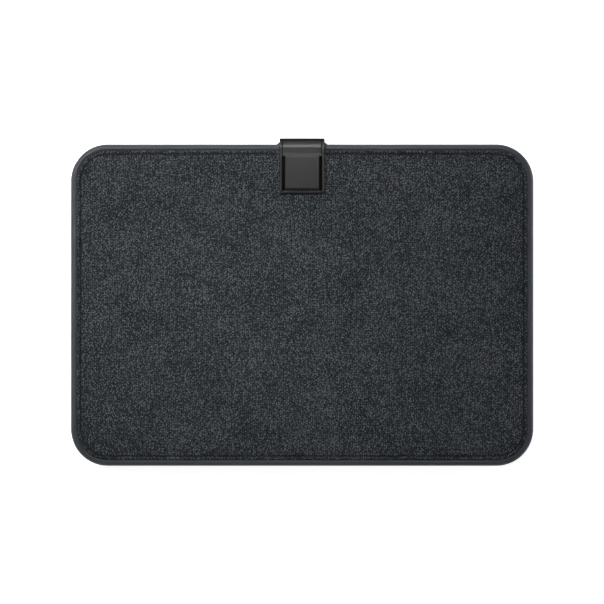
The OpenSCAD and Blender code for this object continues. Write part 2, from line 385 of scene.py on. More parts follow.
def woven_material():
    """Heathered plain weave: warp and weft cross in turn, and each yarn has two unlike plies."""
    g = Graph("woven_cover")
    place = g.place()
    drift = g.noise(place, 70.0, 2.0)
    wobble = g.noise(place, 900.0, 2.0)
    x, y, _ = g.split(place)
    shift = g.times(g.minus(drift, 0.5), 1.2)
    sway = g.times(g.minus(wobble, 0.5), 0.7)
    a = g.add(g.maths("DIVIDE", x, WARP_PITCH * MM), g.add(shift, sway))
    b = g.minus(g.maths("DIVIDE", y, WEFT_PITCH * MM), g.minus(shift, sway))
    i = g.maths("FLOOR", a)
    j = g.maths("FLOOR", b)
    fa = g.maths("FRACT", a)
    fb = g.maths("FRACT", b)
    warp_up = g.maths("FLOORED_MODULO", g.add(i, j), 2.0)
    arch_a = g.maths("SINE", g.times(fa, math.pi))
    arch_b = g.maths("SINE", g.times(fb, math.pi))
    pill = g.maths("POWER", g.times(arch_a, arch_b), 0.5)

    cell = g.chance(i, j, 1)
    half_a = g.maths("FLOOR", g.times(fa, 2.0))
    half_b = g.maths("FLOOR", g.times(fb, 2.0))
    half = g.blend(warp_up, half_b, half_a)
    ply = g.maths("ABSOLUTE", g.minus(half, g.chance(i, j, 4)))
    warp = g.chance(i, 0.0, 2)
    weft = g.chance(0.0, j, 3)
    skew_a = g.join(g.add(x, g.times(y, 0.35)), y, 0.0)
    skew_b = g.join(x, g.add(y, g.times(x, 0.35)), 0.0)
    along_warp = g.noise(g.scaled(skew_a, 1.0, 0.38, 1.0), 2300.0, 1.0, 0.5)
    along_weft = g.noise(g.scaled(skew_b, 0.38, 1.0, 1.0), 2300.0, 1.0, 0.5)
    fibres = g.blend(warp_up, along_weft, along_warp)
    flecks = g.noise(g.scaled(place, 1.0, 0.8, 1.0), 1500.0, 2.0, 0.7)
    blotch = g.noise(place, 210.0, 3.0, 0.6)
    cloud = g.noise(place, 38.0, 2.0, 0.5)

    tone = g.times(g.maths("POWER", cell, 3.0), 1.3)
    tone = g.add(tone, g.times(g.maths("POWER", ply, 4.0), 8.8))
    steps = [
        (g.times, warp_up, 0.0, 1.0, 0.82, 1.14),
        (g.times, fibres, 0.35, 0.65, 0.45, 1.5),
        (g.add, fibres, 0.42, 0.62, 0.0, 1.0),
        (g.add, flecks, 0.51, 0.63, 0.0, 2.0),
        (g.add, warp, 0.0, 1.0, 0.0, 0.14),
        (g.add, weft, 0.0, 1.0, 0.0, 0.08),
        (g.add, warp_up, 0.0, 1.0, -0.25, 0.20),
        (g.times, blotch, 0.3, 0.7, 0.84, 1.16),
        (g.times, cloud, 0.3, 0.7, 0.80, 1.20),
        # painted shade: each yarn crossing is darker towards its edges and in the gaps between crossings
        (g.times, pill, 0.0, 0.8, 0.25, 1.1),
    ]
    for combine, source, low, high, to_low, to_high in steps:
        tone = combine(tone, g.ranged(source, low, high, to_low, to_high))
    share = g.ranged(tone, 0.7, 7.4, 0.0, 1.0)
    green = g.mix(share, (0.0058, 0.0074, 0.0083), (0.164, 0.192, 0.212))
    plain = g.mix(share, (0.0066, 0.0071, 0.0082), (0.165, 0.177, 0.203))
    colour = g.mix(g.ranged(cloud, 0.3, 0.7, 0.1, 0.8), green, plain)
    fuzz = g.noise(place, 5200.0, 2.0, 0.6)
    height = g.add(pill, g.times(fibres, 0.5))
    height = g.add(height, g.times(fuzz, 0.2))
    # painted shade: near-black along the seam groove, also standing for the dark thread, and in the gap
    # at the panel's edge
    colour = g.mix(g.attribute("crease"), colour, (0.004, 0.004, 0.0045))
    g.set(
        Base_Color=colour,
        Roughness=0.85,
        Specular_IOR_Level=0.25,
        Sheen_Weight=0.08,
        Sheen_Roughness=0.5,
        Normal=g.bump(height, 0.00028, 0.9),
    )
    return g.material


def rim_material():
    """Soft moulded elastomer: blue grey, satin, with a very fine spark-eroded texture."""
    g = Graph("bumper_elastomer")
    place = g.place()
    grain = g.noise(place, 2600.0, 3.0, 0.6)
    patch = g.noise(place, 22.0, 2.0, 0.5)
    colour = g.mix(g.ranged(patch, 0.3, 0.7, 0.0, 1.0), (0.043, 0.048, 0.062), (0.049, 0.055, 0.070))
    g.set(
        Base_Color=colour,
        Roughness=g.ranged(grain, 0.3, 0.7, 0.42, 0.56),
        Specular_IOR_Level=0.5,
        Normal=g.bump(grain, 0.00006, 0.5),
    )
    return g.material


def leather_material():
    """Fine-grained strap leather; the attribute depth darkens its colour with painted shade on the front
    bend, in the channels and in the stitch grooves, and makes its edges, end margin and stitch dashes
    darker.
    """
    g = Graph("strap_leather")
    place = g.place()
    cells = g.node("ShaderNodeTexVoronoi", feature="DISTANCE_TO_EDGE")
    g.feed(cells.inputs["Vector"], place)
    cells.inputs["Scale"].default_value = 2300.0
    grain = g.ranged(cells.outputs[0], 0.0, 0.25, 0.0, 1.0)
    pores = g.noise(place, 4200.0, 2.0, 0.6)
    tone = g.noise(place, 130.0, 3.0, 0.55)
    colour = g.mix(g.ranged(tone, 0.3, 0.7, 0.0, 1.0), (0.0247, 0.0247, 0.0247), (0.0262, 0.0262, 0.0262))
    # painted highlight: lighter lines at the raised steps on top of the magnet patch
    colour = g.mix(g.attribute("painted_step_highlight"), colour, (0.088, 0.088, 0.088))
    # painted shade and darker edges, from the depth attribute
    colour = g.mix(g.attribute("depth"), colour, (0.0035, 0.0035, 0.0035))
    height = g.add(grain, g.times(pores, 0.4))
    g.set(
        Base_Color=colour,
        Roughness=g.ranged(tone, 0.3, 0.7, 0.28, 0.30),
        # the painted shade also dims the leather's reflections
        Specular_IOR_Level=g.ranged(g.attribute("depth"), 0.0, 0.8, 0.5, 0.02),
        Normal=g.bump(height, 0.00003, 0.4),
    )
    return g.material


def napped_material(name, dark, light, scale, depth, sheen):
    """Short pile or brushed leather: fine speckle over a soft cloudy tone."""
    g = Graph(name)
    place = g.place()
    pile = g.noise(place, scale, 3.0, 0.7)
    brushed = g.noise(g.scaled(place, 1.0, 0.35, 1.0), 90.0, 3.0, 0.6)
    share = g.times(pile, g.ranged(brushed, 0.3, 0.7, 0.6, 1.4))
    colour = g.mix(g.ranged(share, 0.2, 0.8, 0.0, 1.0), dark, light)
    g.set(
        Base_Color=colour,
        Roughness=0.95,
        Specular_IOR_Level=0.15,
        Sheen_Weight=sheen,
        Sheen_Roughness=0.6,
        Normal=g.bump(pile, depth, 0.8),
    )
    return g.material


def thread_material():
    """Bonded thread: fine twisted plies."""
    g = Graph("sewing_thread")
    place = g.place()
    plies = g.noise(place, 3800.0, 2.0, 0.5)
    colour = g.mix(plies, (0.0035, 0.0037, 0.0041), (0.012, 0.0124, 0.0135))
    g.set(
        Base_Color=colour,
        Roughness=0.7,
        Specular_IOR_Level=0.15,
        Normal=g.bump(plies, 0.00005, 0.8),
    )
    return g.material


def plain_material(name, dark, light, scale, roughness, metallic=0.0, depth=0.00003):
    """Inner pieces: a base colour with fine mottling, a little gloss variation and grain."""
    g = Graph(name)
    place = g.place()
    grain = g.noise(place, scale, 4.0, 0.6)
    g.set(
        Base_Color=g.mix(grain, dark, light),
        Roughness=g.ranged(grain, 0.3, 0.7, roughness - 0.08, roughness + 0.08),
        Metallic=metallic,
        Normal=g.bump(grain, depth, 0.6),
    )
    return g.material


WOVEN = woven_material()
RIM = rim_material()
LEATHER = leather_material()
BACKING = napped_material(
    "backing_leather", (0.012, 0.012, 0.012), (0.05, 0.05, 0.05), 3000.0, 0.00008, 0.15
)
PLUSH = napped_material(
    "plush_lining", (0.009, 0.010, 0.012), (0.045, 0.048, 0.055), 2200.0, 0.00025, 0.35
)
THREAD = thread_material()
FOAM = plain_material(
    "closed_cell_foam", (0.20, 0.21, 0.23), (0.33, 0.35, 0.37), 1400.0, 0.9, depth=0.0002
)
BOARD = plain_material("polyethylene_board", (0.010, 0.010, 0.011), (0.020, 0.020, 0.022), 300.0, 0.45)
STEEL = plain_material(
    "zinc_plated_steel", (0.42, 0.43, 0.44), (0.56, 0.57, 0.58), 220.0, 0.38, metallic=1.0
)
NICKEL = plain_material("nickel_plate", (0.55, 0.54, 0.52), (0.68, 0.67, 0.65), 180.0, 0.22, metallic=1.0)


# ---------------------------------------------------------------- woven panels

STITCHES_X = round(2 * STRAIGHT_X / STITCH_PITCH)
STITCHES_Y = round(2 * STRAIGHT_Y / STITCH_PITCH)
STITCHES_CORNER = round((CORNER_R - SEAM_INSET) * math.pi / 2 / STITCH_PITCH)
RINGS = [3.75, 3.8, 3.95, 4.25, 4.7, 5.3, 5.8, 6.2, 6.45, 6.7, 6.9, 7.1, 7.35, 7.6, 8.0, 8.6]
RINGS += [9.5, 10.8, 12.5, 14.5, 17.0, 20.0, 23.0, CORNER_R]


def crown_by_cloth(height_cap):
    """Blows a pinned sheet up from behind and returns its rise as a function of x and y.

    The sheet is the panel inside its seam. Its edge is pinned and pressure stands for the foam.
    """
    step = 6.0
    inner_x, inner_y = HALF_W - SEAM_INSET, HALF_H - SEAM_INSET
    columns = int(2 * inner_x / step) + 1
    rows = int(2 * inner_y / step) + 1
    xs = np.linspace(-inner_x, inner_x, columns)
    ys = np.linspace(-inner_y, inner_y, rows)
    grid_x, grid_y = np.meshgrid(xs, ys)
    flat = np.stack([grid_x, grid_y, np.zeros_like(grid_x)], axis=-1)
    mesh = bpy.data.meshes.new("crown_sheet")
    mesh.from_pydata((flat.reshape(-1, 3) * MM).tolist(), [], grid_faces(rows, columns))
    sheet = bpy.data.objects.new("crown_sheet", mesh)
    bpy.context.scene.collection.objects.link(sheet)
    inset = np.minimum(inner_x - np.abs(grid_x), inner_y - np.abs(grid_y)).ravel()
    held = sheet.vertex_groups.new(name="held")
    held.add([int(k) for k in np.flatnonzero(inset < 0.5)], 1.0, "REPLACE")
    cloth = sheet.modifiers.new("cloth", "CLOTH")
    cloth.settings.vertex_group_mass = "held"
    cloth.settings.effector_weights.gravity = 0.0
    cloth.settings.use_pressure = True
    cloth.settings.uniform_pressure_force = 4.0
    cloth.settings.tension_stiffness = 40.0
    cloth.settings.compression_stiffness = 40.0
    cloth.settings.bending_stiffness = 2.0
    cloth.collision_settings.use_self_collision = False
    scene = bpy.context.scene
    settle_frames = 20
    for number in range(1, settle_frames + 1):
        scene.frame_set(number)
    evaluated = sheet.evaluated_get(bpy.context.evaluated_depsgraph_get())
    rise = np.array([v.co.z for v in evaluated.data.vertices]).reshape(rows, columns) / MM
    rise = np.abs(rise)
    rise *= height_cap / max(rise.max(), 1e-6)
    scene.frame_set(1)
    bpy.data.objects.remove(sheet)
    bpy.data.meshes.remove(mesh)

    def lookup(x, y):
        fx = np.clip((x + inner_x) / (2 * inner_x) * (columns - 1), 0, columns - 1.001)
        fy = np.clip((y + inner_y) / (2 * inner_y) * (rows - 1), 0, rows - 1.001)
        ix, iy = fx.astype(int), fy.astype(int)
        tx, ty = fx - ix, fy - iy
        low = rise[iy, ix] * (1 - tx) + rise[iy, ix + 1] * tx
        high = rise[iy + 1, ix] * (1 - tx) + rise[iy + 1, ix + 1] * tx
        return low * (1 - ty) + high * ty

    return lookup


def pucker(inset, phase):
    """The cloth drawn in beside each stitch of the seam, up and down in turn."""
    return np.exp(-(((inset - SEAM_INSET) / 1.3) ** 2)) * (phase - 0.5)


def seam_profile(inset):
    """Height of a panel's skin over its border, seam groove and shoulder, against the inset."""
    tuck = -2.2 * (1 - smooth(3.6, 5.3, inset)) ** 2
    border = 0.30 * np.sin(np.pi * np.clip((inset - 4.2) / (SEAM_INSET - 4.2), 0, 1))
    groove = -0.5 * np.exp(-(((inset - SEAM_INSET) / 0.36) ** 2))
    within = np.clip(inset - SEAM_INSET - 0.3, 0, None)
    shoulder = 1.1 * (1 - np.exp(-within / 5.0)) + 0.9 * (1 - np.exp(-within / 20.0))
    return tuck + border + groove + shoulder


def panel_points():
    """Rings from the edge inwards and a grid inside them, as (points, insets, phases, faces)."""
    places, normals = outline(2 * STITCHES_X, 2 * STITCHES_Y, 2 * STITCHES_CORNER)
    count = len(places)
    points, insets, phases = [], [], []
    for inset in RINGS:
        points.append(places - inset * normals)
        insets.append(np.full(count, inset))
        phases.append(np.arange(count) % 2)
    faces = grid_faces(len(RINGS), count, wrap_columns=True)
    xs = np.linspace(-STRAIGHT_X, STRAIGHT_X, 2 * STITCHES_X + 1)
    ys = np.linspace(-STRAIGHT_Y, STRAIGHT_Y, 2 * STITCHES_Y + 1)
    grid_x, grid_y = np.meshgrid(xs, ys)
    inner = np.stack([grid_x, grid_y], axis=-1).reshape(-1, 2)
    faces += grid_faces(len(ys), len(xs), first=len(RINGS) * count)
    points.append(inner)
    insets.append(np.minimum(HALF_W - np.abs(inner[:, 0]), HALF_H - np.abs(inner[:, 1])))
    phases.append(np.zeros(len(inner)))
    return np.concatenate(points), np.concatenate(insets), np.concatenate(phases), faces


def paint_seam_shade(obj):
    """Stores painted shade for the cloth: 0.85 along the seam groove, also standing for the dark thread
    there, and 1 at the panel's edge in the gap to the rim, 0 away from them.
    """
    def depth(points):
        over = np.maximum(np.abs(points[:, :2]) - (STRAIGHT_X, STRAIGHT_Y), 0)
        corner = CORNER_R - np.hypot(over[:, 0], over[:, 1])
        inner = np.minimum(HALF_W - np.abs(points[:, 0]), HALF_H - np.abs(points[:, 1]))
        inset = np.where(np.all(over > 0, axis=1), corner, inner)
        seam = 0.85 * np.exp(-(((inset - SEAM_INSET - 0.12) / 0.6) ** 4))
        return np.maximum(seam, 1 - smooth(4.1, 4.65, inset))

    add_attribute(obj, "crease", depth)


def strap_press(x, y):
    """1 where the closed flap presses on the front panel, falling to 0 a few millimetres away."""
    beside = np.abs(x) - STRAP_HALF
    below = FLAP_END_Y - y
    away = np.hypot(np.clip(beside, 0, None), np.clip(below, 0, None))
    return 1 - smooth(0.2, 14.0, away)


def front_panel(crown):
    """Front cover: crowned over its foam, sewn down at the seam and pressed in by the flap."""
    places, inset, phase, faces = panel_points()
    x, y = places[:, 0], places[:, 1]
    height = seam_profile(inset) + crown(x, y) * smooth(SEAM_INSET, SEAM_INSET + 8, inset)
    height += 0.10 * pucker(inset, phase)
    height += 0.05 * waves(x, y, 34.0, 5) * smooth(8.0, 20.0, inset)
    z = BODY_T - 0.35 + height
    limit = flap_back_low[2] - 0.06
    pressed = np.minimum(z, limit)
    z = z + (pressed - z) * strap_press(x, y)
    top = np.stack([x, y, z], axis=-1)
    obj = make_object("front_cover_cloth", top, faces, WOVEN, 80)
    thicken(obj, CLOTH_T)
    paint_seam_shade(obj)
    return obj


def thicken(obj, thickness):
    """Gives an open skin its thickness on the inner side, and applies it."""
    solid = obj.modifiers.new("thickness", "SOLIDIFY")
    solid.thickness = thickness * MM
    solid.offset = -1.0
    solid.use_rim = True
    apply_modifiers(obj)


def apply_modifiers(obj):
    """Replaces the object's mesh with what its modifiers make of it."""
    graph = bpy.context.evaluated_depsgraph_get()
    made = bpy.data.meshes.new_from_object(obj.evaluated_get(graph), depsgraph=graph)
    made.name = obj.name
    obj.modifiers.clear()
    obj.data = made


def back_panel():
    """Back cover: flat where the sleeve rests, with a window round the strap's anchor plate."""
    places, inset, phase, faces = panel_points()
    x, y = places[:, 0], places[:, 1]
    height = seam_profile(inset) + 0.08 * pucker(inset, phase)
    level = 0.28
    z = np.clip(level - height, 0.0, None)
    skin = np.stack([x, y, z], axis=-1)
    obj = make_object("back_cover_cloth", skin, faces, WOVEN, 80)
    work = bmesh.new()
    work.from_mesh(obj.data)
    clear = 0.06
    sides = [
        ((plate_high[0] + clear, 0, 0), (1, 0, 0)),
        ((plate_low[0] - clear, 0, 0), (-1, 0, 0)),
        ((0, plate_low[1] - clear, 0), (0, -1, 0)),
    ]
    for place, direction in sides:
        near = [f for f in work.faces if f.calc_center_median().y > (plate_low[1] - 8) * MM]
        near = [f for f in near if abs(f.calc_center_median().x) < (plate_high[0] + 8) * MM]
        parts = near + list({e for f in near for e in f.edges}) + list({v for f in near for v in f.verts})
        bmesh.ops.bisect_plane(
            work, geom=parts, dist=1e-7, plane_co=[c * MM for c in place], plane_no=direction
        )
    gone = [
        f for f in work.faces
        if abs(f.calc_center_median().x) < (plate_high[0] + clear) * MM
        and f.calc_center_median().y > (plate_low[1] - clear) * MM
    ]
    bmesh.ops.delete(work, geom=gone, context="FACES")
    work.to_mesh(obj.data)
    work.free()
    turn_down(obj)
    thicken(obj, CLOTH_T)
    paint_seam_shade(obj)
    return obj


def turn_down(obj):
    """Makes an open skin face away from the sleeve's middle."""
    work = bmesh.new()
    work.from_mesh(obj.data)
    middle = sum(f.normal.z * f.calc_area() for f in work.faces)
    if middle > 0:
        bmesh.ops.reverse_faces(work, faces=work.faces)
    work.to_mesh(obj.data)
    work.free()


# ---------------------------------------------------------------- stitches


def stitch_points(length, radius, sides=8, rings=7, bow=0.16):
    """One stitch lying along its first axis: (points, faces). Its ends dip into the cloth."""
    points = []
    for i in range(rings):
        t = -1 + 2 * i / (rings - 1)
        thick = radius * math.sqrt(max(0.0, 1 - abs(t) ** 3.2)) + 0.02
        rise = bow * (1 - t * t) - 0.12
        for k in range(sides):
            angle = math.tau * k / sides
            points.append((t * length / 2, thick * math.cos(angle), rise + thick * 0.8 * math.sin(angle)))
    return np.array(points), closed_tube(rings, sides)


def gather(parts):
    """Several (points, faces) as one."""
    points, faces, first = [], [], 0
    for some, quads in parts:
        points.append(some)
        faces += [tuple(first + k for k in f) for f in quads]
        first += len(some)
    return np.concatenate(points), faces


def seam_stitches(name, surface_z, up, skip=None):
    """The topstitch round a panel. up is +1 on the front and -1 on the back."""
    places, normals = outline(2 * STITCHES_X, 2 * STITCHES_Y, 2 * STITCHES_CORNER)
    form, faces = stitch_points(2.45, 0.3)
    lean = math.radians(5)
    parts = []
    for k in range(1, len(places), 2):
        normal = np.array([*normals[k], 0.0])
        along = np.array([-normals[k][1], normals[k][0], 0.0])
        centre = np.array([*(places[k] - SEAM_INSET * normals[k]), surface_z])
        if skip and skip(centre):
            continue
        forward = along * math.cos(lean) + normal * math.sin(lean)
        sideways = normal * math.cos(lean) - along * math.sin(lean)
        points = centre + np.outer(form[:, 0], forward) + np.outer(form[:, 1], sideways)
        points = points + np.outer(form[:, 2], [0, 0, up])
        parts.append((points, faces))
    points, faces = gather(parts)
    return make_object(name, points, faces, THREAD, 60)


# ---------------------------------------------------------------- moulded rim


def rim_profile(top):
    """Closed outline of a half rim at one place: (inset, height from its own face)."""
    points = []

    def arc(inset, height, radius, start, end, steps):
        for k in range(steps + 1):
            angle = math.radians(start + (end - start) * k / steps)
            points.append((inset + radius * math.cos(angle), height + radius * math.sin(angle)))

    low = RIM_DROP
    lip = 0.45
    inner = RIM_W
    recess = COVER_T + FLANGE_T - 0.35
    points.append((inner, recess))
    arc(inner - lip, low + lip, lip, 0, -84, 7)
    arc(RIM_ROUND, low + RIM_ROUND, RIM_ROUND, -100, -180, 14)
    round_top = min(0.5, top - low - RIM_ROUND)
    arc(round_top, top - round_top, round_top, 180, 90, 4)
    arc(RIM_W - 0.25, top - 0.25, 0.25, 90, 0, 3)
    flange_top = COVER_T + FLANGE_T
    reach = RIM_W + FLANGE_W
    points.append((RIM_W, flange_top + 0.3))
    points.append((RIM_W + 0.3, flange_top))
    arc(reach - 0.3, flange_top - 0.3, 0.3, 90, 0, 3)
    points.append((reach, COVER_T + 0.1))
    points.append((reach - 0.1, COVER_T))
    points.append((RIM_W + 1.5, COVER_T))
    points.append((RIM_W + 0.8, recess))
    return points


def slot_height(y):
    """Height of the rim's wall: it steps down round the end of the mouth slot."""
    if y <= SLOT_END_Y - SLOT_R:
        return MID_Z
    if y >= SLOT_END_Y:
        return PANEL_T
    return MID_Z - math.sqrt(max(0.0, SLOT_R**2 - (SLOT_END_Y - y) ** 2))


def rim_stations(gap_half=None):
    """Places round the outline for the rim, closer together where the wall steps down.

    With gap_half, the run starts and ends that far from the middle of the top edge.
    """
    right_y = list(np.linspace(-STRAIGHT_Y, STRAIGHT_Y, 14))
    right_y += list(np.linspace(STRAIGHT_Y, SLOT_END_Y - SLOT_R, 7)[1:])
    for k in range(1, 15):
        right_y.append(SLOT_END_Y - SLOT_R * math.cos(math.pi / 2 * k / 14))
    top_turn = math.asin((SLOT_END_Y - STRAIGHT_Y) / CORNER_R)
    for k in range(1, 17):
        turn = top_turn + (math.pi / 2 - top_turn) * k / 16
        right_y.append(STRAIGHT_Y + CORNER_R * math.sin(turn))
    half = []
    for k in range(1, 24):
        turn = -math.pi / 2 + math.pi / 2 * k / 24
        place = (STRAIGHT_X + CORNER_R * math.cos(turn), -STRAIGHT_Y + CORNER_R * math.sin(turn))
        half.append((place, (math.cos(turn), math.sin(turn))))
    half += [right_side_point(y) for y in right_y]
    half += [((x, HALF_H), (0.0, 1.0)) for x in np.linspace(STRAIGHT_X, gap_half or 0.0, 8)[1:]]
    places = np.array([place for place, _ in half])
    normals = np.array([normal for _, normal in half])
    left_places, left_normals = mirrored(places, normals)
    bottom_x = np.linspace(-STRAIGHT_X, STRAIGHT_X, 14)
    bottom_places = np.stack([bottom_x, np.full(14, -HALF_H)], axis=-1)
    bottom_normals = np.tile([0.0, -1.0], (14, 1))
    last = len(places) if gap_half else len(places) - 1
    return (
        np.concatenate([left_places, bottom_places, places[:last]]),
        np.concatenate([left_normals, bottom_normals, normals[:last]]),
    )


def swept_rim(gap_half=None):
    """Half rim with its face at height 0: (points, faces)."""
    places, normals = rim_stations(gap_half)
    points = []
    for place, normal in zip(places, normals):
        profile = rim_profile(slot_height(place[1]))
        for inset, height in profile:
            points.append((*(place - inset * normal), height))
    rows, columns = len(places), len(profile)
    if gap_half:
        return np.array(points), closed_tube(rows, columns)
    return np.array(points), grid_faces(rows, columns, wrap_rows=True, wrap_columns=True)


def saddle_points():
    """The pad that carries the strap round the front rim, with sloping shoulders."""
    outer = saddle_tip - HALF_H - 0.2
    foot, crest = STRAP_HALF + 2.15, STRAP_HALF + 0.35
    xs = np.concatenate([
        -np.linspace(foot, crest, 8), np.linspace(-crest, crest, 24)[1:-1], np.linspace(crest, foot, 8)
    ])
    share = 1 - smooth(crest, foot, np.abs(xs))
    low_reach = HALF_H - BEND_Y
    section = []
    for k in range(15):
        angle = math.radians(-8 + 108 * k / 14)
        section.append((math.cos(angle), math.sin(angle)))
    rows = []
    for x, s in zip(xs, share):
        reach = low_reach + outer * s
        rise = 2.35 + 0.6 * s
        ring = [(x, BEND_Y + reach * c, FRONT_BEND_Z + rise * n) for c, n in section]
        ring.append((x, HALF_H - RIM_W + 0.6, FRONT_BEND_Z + rise * 0.9))
        ring.append((x, HALF_H - RIM_W + 0.6, FRONT_BEND_Z - 0.4))
        rows.append(ring)
    rows = np.array(rows)
    count, columns = rows.shape[:2]
    return rows.reshape(-1, 3), closed_tube(count, columns)


def front_rim():
    """The front half rim with the saddle that carries the strap."""
    points, faces = swept_rim()
    points[:, 2] = BODY_T - points[:, 2]
    return make_object("front_rim", *gather([(points, faces), saddle_points()]), RIM, 42)


def back_rim():
    """The back half rim, open where the strap comes out, with a thin tie behind the strap."""
    channel = STRAP_HALF + 0.45
    points, faces = swept_rim(channel)
    low = np.array([-channel - 1, HALF_H - RIM_W, PANEL_T - 0.65])
    high = np.array([channel + 1, HALF_H - RIM_W + 1.65, PANEL_T])
    return make_object("back_rim", *gather([(points, faces), block(low, high, 0.2)]), RIM, 42)


def block(low, high, bevel):
    """A box with chamfered edges: (points, faces)."""
    work = bmesh.new()
    bmesh.ops.create_cube(work, size=1.0)
    for vert in work.verts:
        share = np.array(vert.co) + 0.5
        vert.co = low + (high - low) * share
    bmesh.ops.bevel(work, geom=work.edges[:], offset=bevel, segments=2, affect="EDGES", profile=0.5)
    points = np.array([v.co for v in work.verts])
    faces = [tuple(v.index for v in f.verts) for f in work.faces]
    work.free()
    return points, faces


# ---------------------------------------------------------------- linings and webs


def pocket_half_width(y):
    """Half width of the pocket's outline at height y."""
    width = HALF_W - (RAIL_FACE if y < RAIL_END_Y else COVER_EDGE)
    beyond = abs(y) - STRAIGHT_Y
    if beyond > 0:
        arc = STRAIGHT_X + math.sqrt(max(0.0, (CORNER_R - COVER_EDGE) ** 2 - beyond**2))
        width = min(width, arc)
    return width


def lining_sheet(name, face_z, back_z, seed):
    """One plush lining: a thin sheet whose pile side is slightly uneven."""
    bottom_y = -HALF_H + RAIL_FACE
    top_y = HALF_H - COVER_EDGE
    ys = np.concatenate([
        np.linspace(bottom_y, RAIL_END_Y - 0.01, 60),
        np.linspace(RAIL_END_Y + 0.05, STRAIGHT_Y, 8),
        STRAIGHT_Y + (top_y - STRAIGHT_Y) * np.sin(np.linspace(0.06, math.pi / 2, 22)),
    ])
    share = np.linspace(-1, 1, 121)
    half = np.array([pocket_half_width(y) for y in ys])
    x = half[:, None] * share[None, :]
    y = np.repeat(ys[:, None], len(share), axis=1)
    toward_back = np.sign(back_z - face_z)
    dip = 0.09 * (1 + waves(x, y, 26.0, seed))
    face = np.stack([x, y, face_z + toward_back * dip], axis=-1)
    back = np.stack([x, y, np.full_like(x, back_z)], axis=-1)
    return make_object(name, *shell(face, back), PLUSH, 60)


def band(name, places, normals, insets, low_z, high_z, bulge):
    """A strip of lining that stands on edge along the outline, bowed inwards by bulge."""
    rows = 14
    levels = np.linspace(0, 1, rows)
    inner, outer = [], []
    for place, normal, inset in zip(places, normals, insets):
        bow = bulge * np.sin(np.pi * levels)
        z = low_z + (high_z - low_z) * levels
        inner.append([(*(place - (inset + LINING_T + b) * normal), h) for b, h in zip(bow, z)])
        outer.append([(*(place - (inset + b) * normal), h) for b, h in zip(bow, z)])
    return make_object(name, *shell(np.array(inner), np.array(outer)), PLUSH, 60)


def edge_lining():
    """Lining up the pocket's sides and bottom; it sits further out round the corners."""
    places, normals = outline(60, 40, 28)
    start = int(np.argmax((places[:, 0] < 0) & (places[:, 1] < RAIL_END_Y)))
    order = np.roll(np.arange(len(places)), -start)
    places, normals = places[order], normals[order]
    keep = places[:, 1] < RAIL_END_Y
    places, normals = places[keep], normals[keep]
    turn = np.degrees(np.arctan2(normals[:, 1], normals[:, 0])) % 90
    corner = (np.abs(normals[:, 0]) > 1e-6) & (np.abs(normals[:, 1]) > 1e-6)
    out = np.where(corner, smooth(0, 11, turn) * smooth(0, 11, 90 - turn), 0.0)
    insets = RAIL_FACE + (COVER_EDGE - RAIL_FACE) * out
    return band("edge_lining_plush", places, normals, insets, edge_low[2], edge_high[2], 0.12)


def mouth_web(name, left):
    """The web of lining that closes one end of the mouth slot."""
    ys = np.linspace(gusset_low[1], gusset_high[1], 26)
    run = [right_side_point(y) for y in ys]
    places = np.array([p for p, _ in run])
    normals = np.array([n for _, n in run])
    if left:
        places, normals = mirrored(places, normals)
    insets = np.full(len(ys), COVER_EDGE)
    return band(name, places, normals, insets, gusset_low[2], gusset_high[2], 0.5)


# ---------------------------------------------------------------- strap

BASE_LENGTH = BEND_Y - BASE_START_Y
BEND_LENGTH = BEND_R * math.pi / 2
BRIDGE_LENGTH = FRONT_BEND_Z - BACK_BEND_Z
FLAP_LENGTH = BEND_Y - FLAP_END_Y
STRAP_LENGTH = BASE_LENGTH + 2 * BEND_LENGTH + BRIDGE_LENGTH + FLAP_LENGTH
BRIDGE_START = BASE_LENGTH + BEND_LENGTH
BRIDGE_END = BRIDGE_START + BRIDGE_LENGTH
FLAP_START = BRIDGE_END + BEND_LENGTH
SPLIT = (BRIDGE_START + BRIDGE_END) / 2


def strap_place(run, side, lift):
    """Point at a distance along the strap's outer face, across it, and lifted off that face."""
    run, side, lift = np.broadcast_arrays(*(np.asarray(v, float) for v in (run, side, lift)))
    angle = np.zeros_like(run)
    angle = np.where(run <= BASE_LENGTH, -math.pi / 2, angle)
    in_back = (run > BASE_LENGTH) & (run < BRIDGE_START)
    angle = np.where(in_back, -math.pi / 2 + (run - BASE_LENGTH) / BEND_R, angle)
    in_front = (run > BRIDGE_END) & (run < FLAP_START)
    angle = np.where(in_front, (run - BRIDGE_END) / BEND_R, angle)
    angle = np.where(run >= FLAP_START, math.pi / 2, angle)
    centre_y = np.full_like(run, BEND_Y)
    centre_y = centre_y - np.clip(BASE_LENGTH - run, 0, None) - np.clip(run - FLAP_START, 0, None)
    rise = np.clip(run - BRIDGE_START, 0, BRIDGE_LENGTH)
    centre_z = BACK_BEND_Z + rise
    reach = BEND_R + lift
    y = centre_y + reach * np.cos(angle)
    z = centre_z + reach * np.sin(angle)
    return np.stack([side, y, z], axis=-1)


def rolled_edge(edge, radius):
    """How far a rounded edge falls away, against the distance from that edge."""
    return radius - np.sqrt(np.clip(radius**2 - np.clip(radius - edge, 0, radius) ** 2, 0, None))


